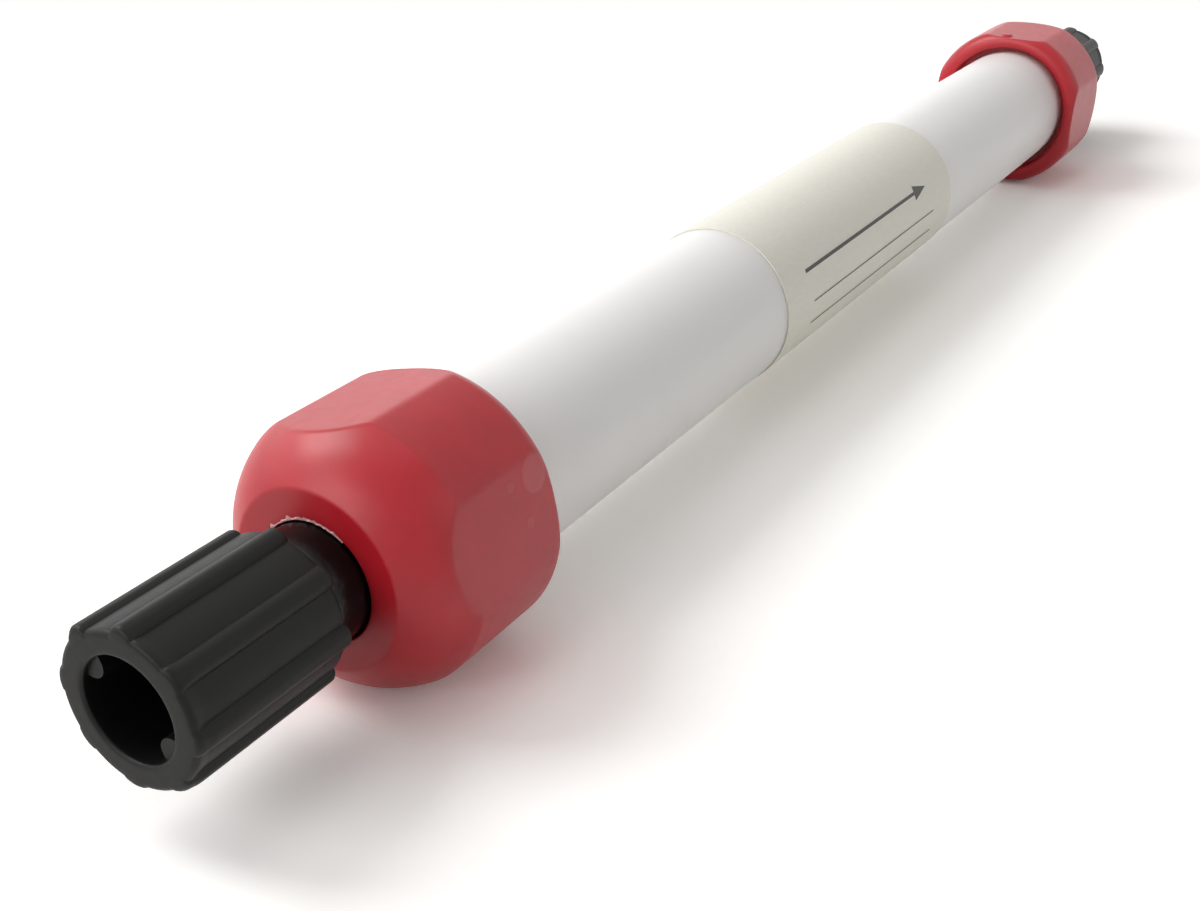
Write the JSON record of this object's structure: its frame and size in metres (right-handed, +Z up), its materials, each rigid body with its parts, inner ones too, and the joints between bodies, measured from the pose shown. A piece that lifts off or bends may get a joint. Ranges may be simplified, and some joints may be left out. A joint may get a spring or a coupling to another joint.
{
  "type": "hplc column",
  "caption": "Prepacked chromatography column: white tube with a wrapped label, domed screw caps with four flats and ribbed finger plugs.",
  "frame": {"origin": "on the surface that the column lies on, below the middle of the tube", "axes": "+X along the tube in the flow direction, inlet to outlet; +Z up"},
  "size_m": [0.152, 0.0164, 0.0163],
  "materials": {
    "tube": "smooth translucent white",
    "label": "satin film with a plain flow arrow",
    "bed": "packed white beads",
    "net": "fine woven plastic",
    "frit": "sintered plastic",
    "distributor": "smooth",
    "rubber": "smooth black",
    "fitting": "glossy black",
    "washer": "smooth white",
    "cap": "satin moulded red",
    "plug": "satin moulded black",
    "seal": "waxy white"
  },
  "bodies": {
    "root": {"column_tube": "tube", "label": "label", "packed_bed": "bed", "inlet_net": "net", "inlet_frit": "frit", "inlet_distributor": "distributor", "inlet_o_ring": "rubber", "inlet_end_piece": "fitting", "outlet_net": "net", "outlet_frit": "frit", "outlet_distributor": "distributor", "outlet_o_ring": "rubber", "outlet_end_piece": "fitting"},
    "inlet_cap_carrier": {"inlet_slip_washer": "washer"},
    "inlet_cap_body": {"inlet_cap": "cap"},
    "inlet_plug_carrier": {"inlet_plug_seal": "seal"},
    "inlet_plug_body": {"inlet_plug": "plug"},
    "outlet_cap_carrier": {"outlet_slip_washer": "washer"},
    "outlet_cap_body": {"outlet_cap": "cap"},
    "outlet_plug_carrier": {"outlet_plug_seal": "seal"},
    "outlet_plug_body": {"outlet_plug": "plug"}
  },
  "joints": [
    {"name": "inlet_cap_travel", "type": "slide", "parent": "root", "child": "inlet_cap_carrier", "axis": [-1, 0, 0], "range_m": [0, 0.0024]},
    {"name": "inlet_cap_turn", "type": "hinge", "parent": "inlet_cap_carrier", "child": "inlet_cap_body", "pos_m": [-0.06, 0, 0.00816], "axis": [-1, 0, 0], "range_deg": [0, 576.5]},
    {"name": "inlet_plug_travel", "type": "slide", "parent": "root", "child": "inlet_plug_carrier", "axis": [-1, 0, 0], "range_m": [0, 0.0065]},
    {"name": "inlet_plug_turn", "type": "hinge", "parent": "inlet_plug_carrier", "child": "inlet_plug_body", "pos_m": [-0.06, 0, 0.00816], "axis": [-1, 0, 0], "range_deg": [0, 2948.53]},
    {"name": "outlet_cap_travel", "type": "slide", "parent": "root", "child": "outlet_cap_carrier", "axis": [1, 0, 0], "range_m": [0, 0.0024]},
    {"name": "outlet_cap_turn", "type": "hinge", "parent": "outlet_cap_carrier", "child": "outlet_cap_body", "pos_m": [0.06, 0, 0.00816], "axis": [1, 0, 0], "range_deg": [0, 576.5]},
    {"name": "outlet_plug_travel", "type": "slide", "parent": "root", "child": "outlet_plug_carrier", "axis": [1, 0, 0], "range_m": [0, 0.0065]},
    {"name": "outlet_plug_turn", "type": "hinge", "parent": "outlet_plug_carrier", "child": "outlet_plug_body", "pos_m": [0.06, 0, 0.00816], "axis": [1, 0, 0], "range_deg": [0, 2948.53]}
  ],
  "couplings": [
    {"joint": "inlet_cap_turn", "follows": "inlet_cap_travel", "rad_per_m": 4188.8},
    {"joint": "inlet_plug_turn", "follows": "inlet_plug_travel", "rad_per_m": 7915.8},
    {"joint": "outlet_cap_turn", "follows": "outlet_cap_travel", "rad_per_m": 4188.8},
    {"joint": "outlet_plug_turn", "follows": "outlet_plug_travel", "rad_per_m": 7915.8}
  ]
}
